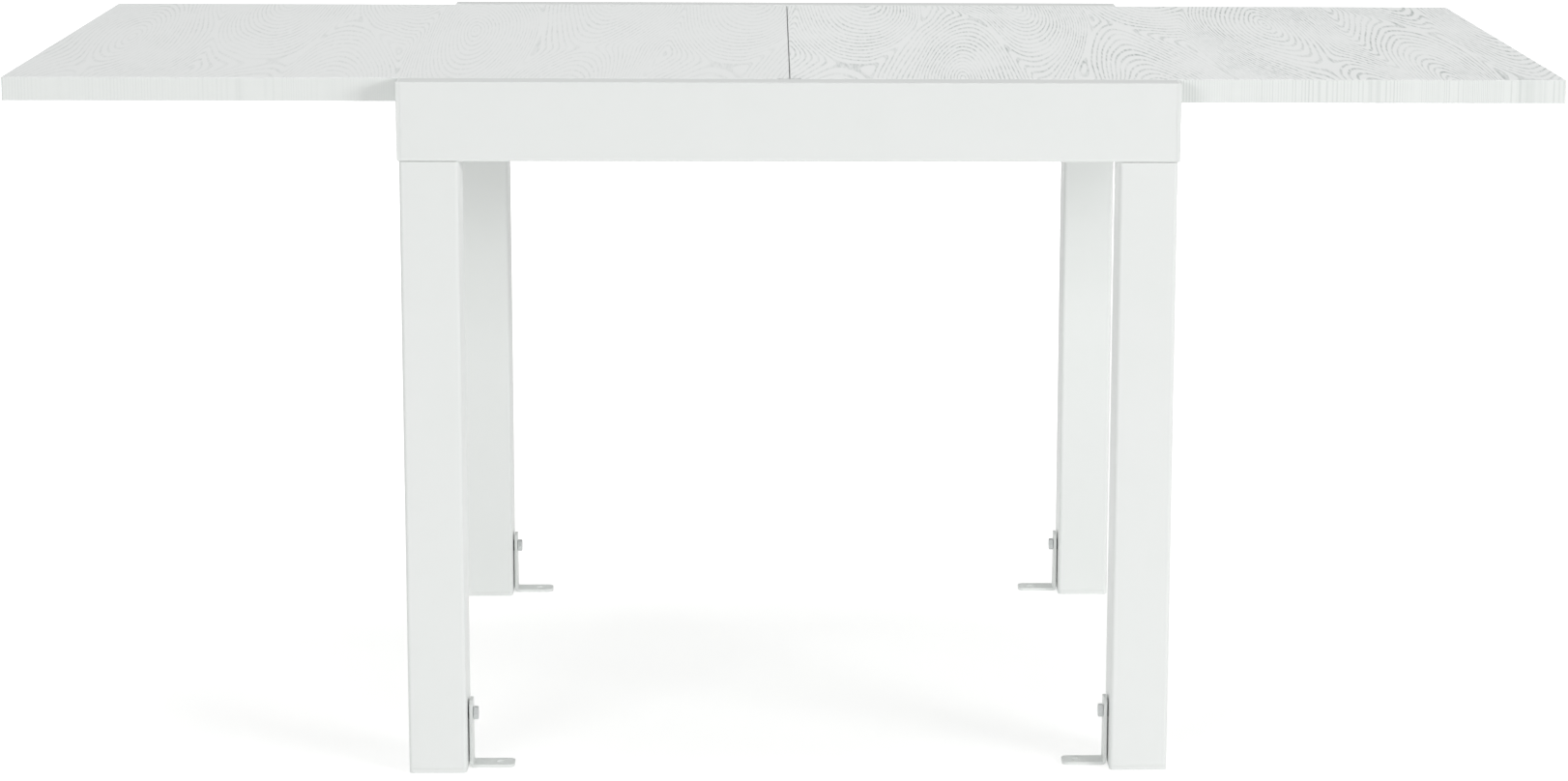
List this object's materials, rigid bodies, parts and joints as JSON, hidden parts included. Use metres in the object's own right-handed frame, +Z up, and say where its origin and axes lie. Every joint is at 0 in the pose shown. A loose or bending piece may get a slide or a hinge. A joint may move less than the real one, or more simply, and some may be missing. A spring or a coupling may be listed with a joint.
{
  "type": "extending dining table",
  "caption": "White extending dining table: square-leg base with side rails, and a top of equal leaves that fold at the seam and slide between the rails; brackets fasten the legs to the floor.",
  "frame": {"origin": "on the floor, under the middle of the base", "axes": "+X along the open top, +Y towards the rear rail, +Z up"},
  "size_m": [1.65, 0.8, 0.75],
  "materials": {
    "coated_aluminium": "white powder coat, fine satin texture",
    "white_plastic": "moulded, satin",
    "wood_grain_laminate": "white, embossed with a swirling wood grain",
    "core_board": "pressed board, white backing underneath",
    "coated_steel": "light grey coat, satin",
    "zinc_steel": "zinc plated",
    "mill_aluminium": "mill finish, drawn",
    "nylon": "moulded nylon"
  },
  "bodies": {
    "base": {"front_rail": "coated_aluminium", "rear_rail": "coated_aluminium", "cross_rail_left": "coated_aluminium", "cross_rail_right": "coated_aluminium", "rail_cap_front_left": "white_plastic", "rail_cap_front_right": "white_plastic", "rail_cap_rear_left": "white_plastic", "rail_cap_rear_right": "white_plastic", "leg_front_left": "coated_aluminium", "leg_front_right": "coated_aluminium", "leg_rear_left": "coated_aluminium", "leg_rear_right": "coated_aluminium", "leg_plate_front_left": "zinc_steel", "leg_plate_front_right": "zinc_steel", "leg_plate_rear_left": "zinc_steel", "leg_plate_rear_right": "zinc_steel", "leg_bolt_front_left": "zinc_steel", "leg_bolt_front_right": "zinc_steel", "leg_bolt_rear_left": "zinc_steel", "leg_bolt_rear_right": "zinc_steel", "foot_cap_front_left": "white_plastic", "foot_cap_front_right": "white_plastic", "foot_cap_rear_left": "white_plastic", "foot_cap_rear_right": "white_plastic", "floor_bracket_front_left": "coated_steel", "floor_bracket_front_right": "coated_steel", "floor_bracket_rear_left": "coated_steel", "floor_bracket_rear_right": "coated_steel", "bracket_bolt_front_left": "zinc_steel", "bracket_bolt_front_right": "zinc_steel", "bracket_bolt_rear_left": "zinc_steel", "bracket_bolt_rear_right": "zinc_steel", "bracket_spacer_front_left": "nylon", "bracket_spacer_front_right": "nylon", "bracket_spacer_rear_left": "nylon", "bracket_spacer_rear_right": "nylon", "slide_channel_front": "mill_aluminium", "slide_channel_rear": "mill_aluminium", "glide_strip_front": "nylon", "glide_strip_rear": "nylon", "channel_stop_front_left": "nylon", "channel_stop_front_right": "nylon", "channel_stop_rear_left": "nylon", "channel_stop_rear_right": "nylon"},
    "left_leaf": {"left_leaf_skin": "wood_grain_laminate", "left_leaf_core": "core_board", "runner_front": "mill_aluminium", "runner_rear": "mill_aluminium", "runner_glide_front": "nylon", "runner_glide_rear": "nylon", "hinge_plate_left_front": "zinc_steel", "hinge_plate_left_rear": "zinc_steel"},
    "hinge_links": {"hinge_link_front": "zinc_steel", "hinge_link_rear": "zinc_steel"},
    "right_leaf": {"right_leaf_skin": "wood_grain_laminate", "right_leaf_core": "core_board", "hinge_plate_right_front": "zinc_steel", "hinge_plate_right_rear": "zinc_steel"}
  },
  "joints": [
    {"name": "top_slide", "type": "slide", "parent": "base", "child": "left_leaf", "axis": [1, 0, 0], "range_m": [0, 0.4127]},
    {"name": "leaf_fold", "type": "hinge", "parent": "left_leaf", "child": "right_leaf", "pos_m": [0, 0, 0.7505], "axis": [0, -1, 0], "range_deg": [0, 180]},
    {"name": "link_turn", "type": "hinge", "parent": "left_leaf", "child": "hinge_links", "pos_m": [-0.008, 0, 0.7425], "axis": [0, -1, 0], "range_deg": [0, 90]}
  ],
  "couplings": [
    {"joint": "link_turn", "follows": "leaf_fold", "ratio": 0.5}
  ]
}
